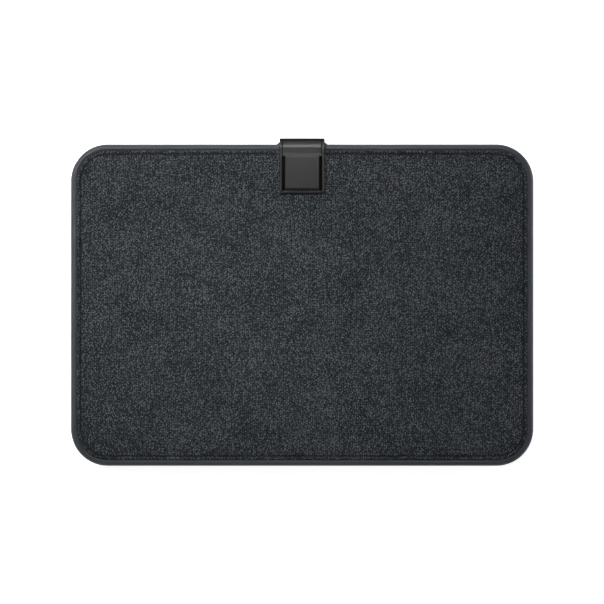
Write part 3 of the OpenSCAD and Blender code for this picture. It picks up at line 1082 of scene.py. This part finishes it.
def strap_height(run, side):
    """How far the strap's face stands off its plain surface, and how much its colour is darkened by
    painted shade and darker edges.
    """
    y = FLAP_END_Y + (STRAP_LENGTH - run)
    to_end = STRAP_LENGTH - run
    edge = np.minimum(STRAP_HALF - np.abs(side), to_end)
    edge = np.minimum(edge, run + 5.0)
    rolled = rolled_edge(edge, 0.55)

    # the patch over the magnet pocket, the low ramp beyond it and its slight dome
    inside = PATCH_HALF - np.abs(side)
    above = y - PATCH_LOW_Y
    below = PATCH_HIGH_Y - y
    sides = smooth(-0.05, 0.45, inside) * smooth(-1.35, 0.15, above)
    patch = PATCH_RISE * sides * smooth(-0.7, 0.6, below)
    ramp = 0.3 * smooth(-1.8, -1.0, below) * smooth(-0.4, 0.5, STRAP_STITCH_X - 0.5 - np.abs(side))
    patch = np.maximum(patch, ramp * smooth(-0.6, 0.2, above))
    turn = (run - BRIDGE_END) / BEND_R
    along = np.sin(np.pi * np.clip(above / PATCH_LENGTH, 0, 1))
    dome = 0.10 * sides * np.clip(inside / PATCH_HALF, 0, 1) * along

    # the channel between the patch and the side stitches; its darkening is painted shade
    beside = smooth(-0.35, 0.05, -inside) * smooth(-0.2, 0.3, STRAP_STITCH_X + 0.25 - np.abs(side))
    beside = beside * smooth(-0.2, 0.4, y - PATCH_LOW_Y + 1.9) * smooth(-0.3, 0.6, below)
    channel = 0.93 * beside

    # the groove that the stitches lie in, along both sides and across the end; its darkening is painted
    # shade
    line = np.abs(np.abs(side) - STRAP_STITCH_X)
    line = np.where(to_end < STRAP_STITCH_END, np.hypot(line, STRAP_STITCH_END - to_end), line)
    bottom = np.abs(to_end - STRAP_STITCH_END)
    past_row = np.abs(side) - STRAP_STITCH_X
    bottom = np.where(past_row > 0, np.hypot(bottom, past_row), bottom)
    groove = 0.38
    seam = np.maximum(np.exp(-((line / groove) ** 2)), 0.35 * np.exp(-((bottom / groove) ** 2)))

    # darker dashes under the row across the end, and the darker margin below it
    row_pitch = 2 * STRAP_STITCH_X / STITCHES_ACROSS
    dashes = smooth(0.25, 0.6, 0.5 + 0.5 * np.cos(math.tau * side / row_pitch))
    row = np.exp(-((bottom / 0.5) ** 4)) * (0.3 + 0.7 * dashes)
    margin = 0.42 * (1 - smooth(1.6, 2.0, to_end))

    # the leather is a little flatter where the front bend begins to meet the flap
    past_bend = FLAP_START - run
    flat_top = 0.2 * smooth(-0.8, 1.4, past_bend) * (1 - smooth(1.8, 4.2, past_bend))

    phase = (STRAP_LENGTH - STRAP_STITCH_END - run) / STRAP_STITCH_PITCH
    holes = 0.5 + 0.5 * np.cos(math.tau * phase)
    lift = patch + dome - rolled - 0.6 * channel - seam * (0.16 + 0.12 * holes)
    lift = lift + 0.012 * waves(side, run, 14.0, 9) - flat_top
    # painted shade: the top of the bridge and the upper turn of the front bend are painted dark
    shade = 0.93 * (smooth(-0.3, 0.0, turn) - smooth(0.80, 0.93, turn))
    rim_dark = 0.85 * (1 - smooth(0.1, 0.5, edge)) * np.where(to_end < 1.2, 0.2, 1.0)
    # painted shade from channel, stitch grooves and bend, with the darker edges, stitch dashes and end
    # margin
    dark = np.clip(channel * 0.98 + 0.4 * seam + row + margin + rim_dark + shade, 0, 1)
    return lift, dark


def strap_step_highlight(run, side):
    """Painted highlight: lighter leather along the top edge of the magnet patch and along a line 1.6 mm
    above it.
    """
    y = FLAP_END_Y + (STRAP_LENGTH - run)
    below = PATCH_HIGH_Y - y
    pocket = np.exp(-(((below - 0.1) / 0.7) ** 2)) * smooth(-0.2, 0.8, PATCH_HALF - np.abs(side))
    crease = np.exp(-(((below + 1.6) / 0.35) ** 2)) * 0.5
    crease = crease * smooth(-0.2, 0.6, STRAP_STITCH_X - 0.4 - np.abs(side))
    return np.clip(0.2 * pocket + crease * 0.5, 0, 1)


def strap_grid(start, end):
    """Distances along and across the strap, closer together over its details."""
    runs = list(np.arange(start, end, 0.42))
    if end > FLAP_START:
        flap_y = [PATCH_LOW_Y, PATCH_HIGH_Y, PATCH_HIGH_Y + 1.6]
        for y in flap_y:
            middle = STRAP_LENGTH - (y - FLAP_END_Y)
            runs += list(middle + np.linspace(-0.7, 0.7, 9))
        runs += list(end - np.array([0.02, 0.07, 0.15, 0.26, 0.4, 0.6, 1.0, 1.3]))
    runs.append(end)
    runs = np.unique(np.round(runs, 3))
    runs = runs[np.concatenate([[True], np.diff(runs) > 0.045])]
    runs[-1] = end
    half = list(np.arange(0, STRAP_HALF, 0.6))
    half += list(np.arange(PATCH_HALF - 0.7, STRAP_STITCH_X + 0.9, 0.14))
    half += list(STRAP_HALF - np.array([0.0, 0.02, 0.07, 0.15, 0.26, 0.4, 0.6, 0.8]))
    half = np.unique(np.round(half, 3))
    half = half[np.concatenate([[True], np.diff(half) > 0.045])]
    half[-1] = STRAP_HALF
    return runs, np.concatenate([-half[:0:-1], half])


def strap_width(run):
    """Share of the full width: the flap's two lower corners are round."""
    radius = 2.0
    e = np.clip(radius - (STRAP_LENGTH - run), 0, radius)
    return (STRAP_HALF - radius + np.sqrt(radius**2 - e**2)) / STRAP_HALF


def add_attribute(obj, name, lookup):
    """Stores a number on every point of obj, from lookup(point in millimetres)."""
    found = np.array([v.co for v in obj.data.vertices], float) / MM
    layer = obj.data.attributes.new(name, "FLOAT", "POINT")
    layer.data.foreach_set("value", lookup(found).astype(np.float32))


def strap_run_of(points):
    """Distance along the strap of points near it."""
    y, z = points[:, 1], points[:, 2]
    mid = (BACK_BEND_Z + FRONT_BEND_Z) / 2
    low = z < mid
    centre_z = np.where(low, BACK_BEND_Z, FRONT_BEND_Z)
    angle = np.arctan2(z - centre_z, np.maximum(y - BEND_Y, 1e-6))
    back = BASE_LENGTH + (angle + math.pi / 2) * BEND_R
    front = BRIDGE_END + angle * BEND_R
    run = np.where(low, back, front)
    on_bridge = (z > BACK_BEND_Z) & (z < FRONT_BEND_Z)
    run = np.where(on_bridge, BRIDGE_START + z - BACK_BEND_Z, run)
    run = np.where((y < BEND_Y) & low, BASE_LENGTH - (BEND_Y - y), run)
    return np.where((y < BEND_Y) & ~low, FLAP_START + (BEND_Y - y), run)


def strap_leather(name, start, end):
    """The strap's outer leather between two distances along it, as a closed shell."""
    runs, sides = strap_grid(start, end)
    run = np.repeat(runs[:, None], len(sides), axis=1)
    side = sides[None, :] * strap_width(run)
    lift, _ = strap_height(run, side)
    hollow = np.clip(lift, 0, None)
    top = strap_place(run, side, lift)
    inner_side = np.clip(side, -(STRAP_HALF - 0.02), STRAP_HALF - 0.02)
    bottom = strap_place(run, inner_side, -LEATHER_T + 0.02 + hollow * 0.93)
    obj = make_object(name, *shell(top, bottom), LEATHER, 62)
    # depth carries the painted shade and darker edges into the leather's colour
    add_attribute(obj, "depth", lambda p: strap_height(strap_run_of(p), p[:, 0])[1])
    add_attribute(obj, "painted_step_highlight", lambda p: strap_step_highlight(strap_run_of(p), p[:, 0]))
    return obj


def strap_backing(name, start, end):
    """The thinner backing leather behind it, with its edges eased."""
    runs = np.unique(np.concatenate([np.arange(start, end, 0.9), [end]]))
    sides = np.concatenate([[-1, -0.996, -0.985], np.linspace(-0.96, 0.96, 33), [0.985, 0.996, 1]])
    sides = STRAP_HALF * sides
    run = np.repeat(runs[:, None], len(sides), axis=1)
    side = sides[None, :] * strap_width(run)
    edge = np.minimum(STRAP_HALF - np.abs(side), STRAP_LENGTH - run)
    rolled = rolled_edge(edge, 0.4)
    outer = strap_place(run, side, -LEATHER_T - 0.01)
    inner = strap_place(run, side, -LEATHER_T - BACKING_T + rolled + 0.02)
    return make_object(name, *shell(outer, inner), BACKING, 62)


def strap_stitches(name, start, end, cross_rows):
    """Stitches on the strap between two distances, plus rows across it at the given distances."""
    form, faces = stitch_points(2.15, 0.27)
    parts = []
    first = STRAP_LENGTH - STRAP_STITCH_END - STRAP_STITCH_PITCH / 2
    count = int((first - BASE_ROW) / STRAP_STITCH_PITCH) + 1
    lean = math.radians(6)
    for k in range(count):
        middle = first - k * STRAP_STITCH_PITCH
        if not start <= middle < end:
            continue
        for edge in (-1, 1):
            run = middle + form[:, 0] * math.cos(lean) - form[:, 1] * math.sin(lean)
            side = edge * STRAP_STITCH_X + form[:, 1] * math.cos(lean) + form[:, 0] * math.sin(lean)
            parts.append((strap_place(run, side, form[:, 2] - STITCH_SINK), faces))
    pitch = 2 * STRAP_STITCH_X / STITCHES_ACROSS
    for row in cross_rows:
        for k in range(STITCHES_ACROSS):
            middle = -STRAP_STITCH_X + (k + 0.5) * pitch
            side = middle + form[:, 0] * 0.82
            parts.append((strap_place(row + form[:, 1], side, form[:, 2] - STITCH_SINK), faces))
    return make_object(name, *gather(parts), THREAD, 60)


# ---------------------------------------------------------------- build the object


def dress(names, material, bevel=0.0):
    """Gives CAD nodes their material and, where it shows, an eased edge."""
    for name in names:
        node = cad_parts[name]
        node.data.materials.clear()
        node.data.materials.append(material)
        if bevel:
            eased = node.modifiers.new("eased edge", "BEVEL")
            eased.width = bevel * MM
            eased.segments = 2
            eased.limit_method = "ANGLE"
            eased.angle_limit = math.radians(40)
            eased.harden_normals = False


def attach(piece, node):
    """A piece that rides on the sleeve's body and stands for one CAD node."""
    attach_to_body(piece, "sleeve")
    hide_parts(node)


CROWN = 1.0
crown = crown_by_cloth(CROWN)

front = front_panel(crown)
attach(front, "front_cover")

back = back_panel()
attach(back, "back_cover")


def in_window(point):
    """True where the back's topstitch is interrupted by the strap's anchor plate."""
    return abs(point[0]) < plate_high[0] + 1.4 and point[1] > plate_low[1]


front_seam = seam_stitches("front_topstitching", BODY_T - 0.98, 1)
attach(front_seam, "front_topstitch")

back_seam = seam_stitches("back_topstitching", 0.9, -1, in_window)
attach(back_seam, "back_topstitch")

rims = [(front_rim(), "front_bumper"), (back_rim(), "back_bumper")]
for rim, node in rims:
    attach(rim, node)

back_lining = lining_sheet("back_lining_plush", PANEL_T, lining_low[2] + 0.02, 21)
front_lining = lining_sheet("front_lining_plush", BODY_T - PANEL_T, BODY_T - lining_low[2] - 0.02, 22)
for lining, node in ((back_lining, "back_lining"), (front_lining, "front_lining")):
    attach(lining, node)

sides = edge_lining()
attach(sides, "edge_lining")

for name, left in (("left_mouth_gusset", True), ("right_mouth_gusset", False)):
    web = mouth_web(name.replace("gusset", "web"), left)
    attach(web, name)

STRAP_NODES = {
    "lower": {
        "leather": ["strap_base", "strap_back_bend", "strap_bridge"],
        "backing": ["strap_bridge_backing"],
        "stitches": ["strap_base_stitching", "strap_bridge_stitching"],
    },
    "upper": {
        "leather": ["strap_flap", "strap_front_bend"],
        "backing": ["strap_flap_backing"],
        "stitches": ["flap_stitching"],
    },
}
strap_halves = [
    ("lower", 0.0, SPLIT, "sleeve", "bridge_section", BACK_BEND_Z),
    ("upper", SPLIT, STRAP_LENGTH, "bridge_section", "flap_section", FRONT_BEND_Z),
]
for half, start, end, near, far, centre_z in strap_halves:
    leather = strap_leather(f"strap_leather_{half}", start, end)
    backing = strap_backing(f"strap_backing_{half}", start, end)
    if half == "lower":
        rows = [BASE_ROW, BASE_ROW + 6 * STRAP_STITCH_PITCH]
    else:
        rows = [STRAP_LENGTH - STRAP_STITCH_END]
    stitches = strap_stitches(f"strap_stitches_{half}", start, end, rows)
    stood_for = STRAP_NODES[half]
    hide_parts(*stood_for["leather"])
    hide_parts(*stood_for["backing"])
    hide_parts(*stood_for["stitches"])
    for piece in (leather, backing, stitches):
        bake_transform(piece)

dress(["left_cushion_rail", "right_cushion_rail", "bottom_cushion_rail"], RIM, 0.3)
dress(["strap_anchor_plate"], BOARD, 0.2)
dress(["back_board", "front_board", "back_mouth_tape", "front_mouth_tape", "magnet_carrier"], BOARD)
dress(["back_foam", "front_foam"], FOAM)
dress(["keeper_plate"], STEEL)
dress(["flap_magnets"], NICKEL)


# ---------------------------------------------------------------- floor, light and camera


def floor():
    """A plain white floor. It glows, so that it looks evenly white and takes hardly any shadow."""
    size = 6.0
    mesh = bpy.data.meshes.new("floor")
    corners = [(-size, -size, 0), (size, -size, 0), (size, size, 0), (-size, size, 0)]
    mesh.from_pydata(corners, [], [(0, 1, 2, 3)])
    obj = bpy.data.objects.new("floor", mesh)
    bpy.context.scene.collection.objects.link(obj)
    g = Graph("floor_white")
    g.set(Roughness=0.9, Specular_IOR_Level=0.0)
    g.set(Base_Color=(0.86, 0.86, 0.86, 1.0), Emission_Color=(1.0, 1.0, 1.0, 1.0), Emission_Strength=0.94)
    obj.data.materials.append(g.material)


def area_light(name, place, target, size, size_y, power, spread=180):
    """A rectangular lamp that faces its target; spread is its beam's angle in degrees."""
    data = bpy.data.lights.new(name, "AREA")
    data.shape = "RECTANGLE"
    data.size = size
    data.size_y = size_y
    data.energy = power
    data.spread = math.radians(spread)
    obj = bpy.data.objects.new(name, data)
    obj.location = place
    away = Vector(place) - Vector(target)
    obj.rotation_mode = "QUATERNION"
    obj.rotation_quaternion = away.to_track_quat("Z", "Y")
    bpy.context.scene.collection.objects.link(obj)


def lighting():
    """A dim white room, a narrow key from the upper left, and soft lamps on every side."""
    world = bpy.data.worlds.new("studio")
    bpy.context.scene.world = world
    world.use_nodes = True
    background = world.node_tree.nodes["Background"]
    background.inputs[0].default_value = (1.0, 1.0, 1.0, 1.0)
    background.inputs[1].default_value = 0.035
    area_light("key_left", (-0.62, 0.42, 1.15), (-0.075, 0.02, 0), 0.35, 0.35, 0.29, 25)
    area_light("top_strip", (0.0, 0.54, 1.12), (0, 0.11, 0), 0.42, 0.26, 4.3)
    area_light("right_fill", (1.25, 0.2, 0.14), (0, 0, 0), 0.22, 1.0, 4.4)
    area_light("left_fill", (-1.25, 0.2, 0.22), (0, 0, 0), 0.3, 1.0, 1.1)
    area_light("top_fill", (0.0, 1.25, 0.24), (0, 0, 0), 1.2, 0.3, 1.5)
    area_light("bottom_fill", (0.0, -1.25, 0.24), (0, 0, 0), 1.2, 0.3, 0.5)


def camera():
    """Straight above the front, with a view a little wider than the sleeve."""
    view_width = 423.9 * MM
    height = 2.2
    data = bpy.data.cameras.new("camera")
    data.sensor_width = 36.0
    data.lens = 36.0 * (height - BODY_T * MM) / view_width
    data.clip_start = 0.01
    data.clip_end = 20.0
    obj = bpy.data.objects.new("camera", data)
    aim_x = -0.10 * MM
    aim_y = 2.20 * MM
    obj.location = (aim_x, aim_y, height)
    bpy.context.scene.collection.objects.link(obj)
    bpy.context.scene.camera = obj


floor()
lighting()
camera()
bpy.context.scene.view_settings.view_transform = "Standard"
